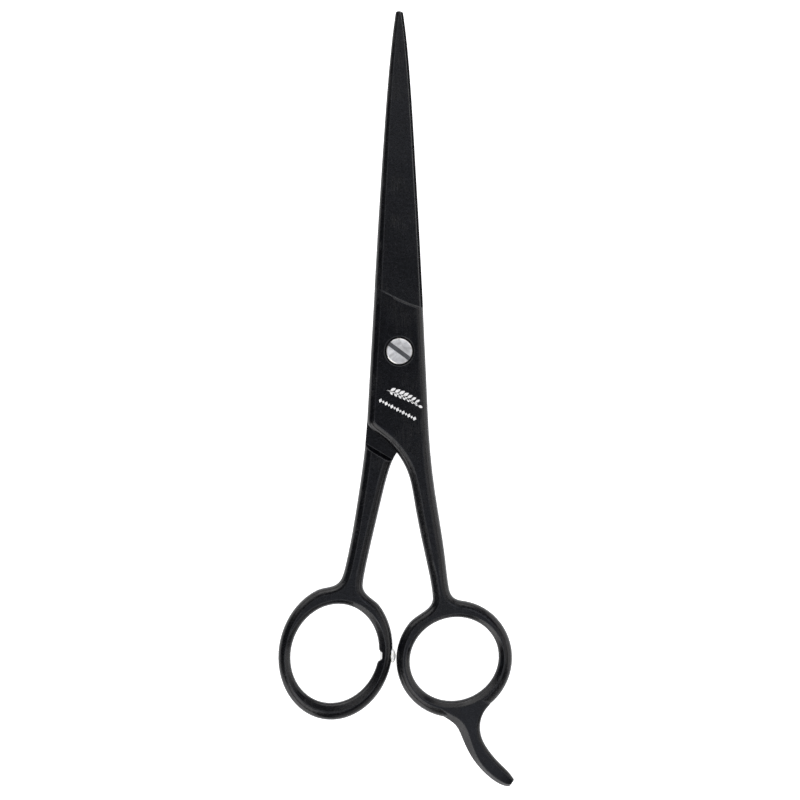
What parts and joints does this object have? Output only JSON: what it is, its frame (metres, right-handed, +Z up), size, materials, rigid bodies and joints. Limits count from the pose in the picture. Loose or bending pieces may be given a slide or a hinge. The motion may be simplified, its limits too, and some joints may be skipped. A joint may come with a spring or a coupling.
{
  "type": "hair cutting shears",
  "caption": "Barber shears with two crossed blades on an adjustable pivot screw, oval finger rings, a finger rest and a ring bumper.",
  "frame": {"origin": "on the pivot's axis, on the resting face, which is the thumb half's flat outer face", "axes": "+X towards the finger ring and its rest, +Y towards the blade tips, +Z up through the stack to the screw head"},
  "size_m": [0.0634, 0.2085, 0.0052],
  "materials": {
    "black_coat": "satin black coating on stainless steel",
    "screw_steel": "polished, with turning marks",
    "spring_steel": "plain spring steel",
    "nylon": "plain moulded"
  },
  "bodies": {
    "thumb_half": {"thumb_side_half": "black_coat", "friction_washer": "nylon", "ring_bumper": "nylon"},
    "finger_half": {"finger_side_half": "black_coat", "spring_washer": "spring_steel"},
    "tension_screw": {"pivot_screw": "screw_steel"}
  },
  "joints": [
    {"name": "blade_pivot", "type": "hinge", "parent": "thumb_half", "child": "finger_half", "pos_m": [0, 0, 0.0025], "axis": [0, 0, 1], "range_deg": [0, 120]},
    {"name": "tension_turn", "type": "hinge", "parent": "thumb_half", "child": "tension_screw", "pos_m": [0, 0, 0.0025], "axis": [0, 0, 1], "range_deg": [-90, 90]}
  ]
}
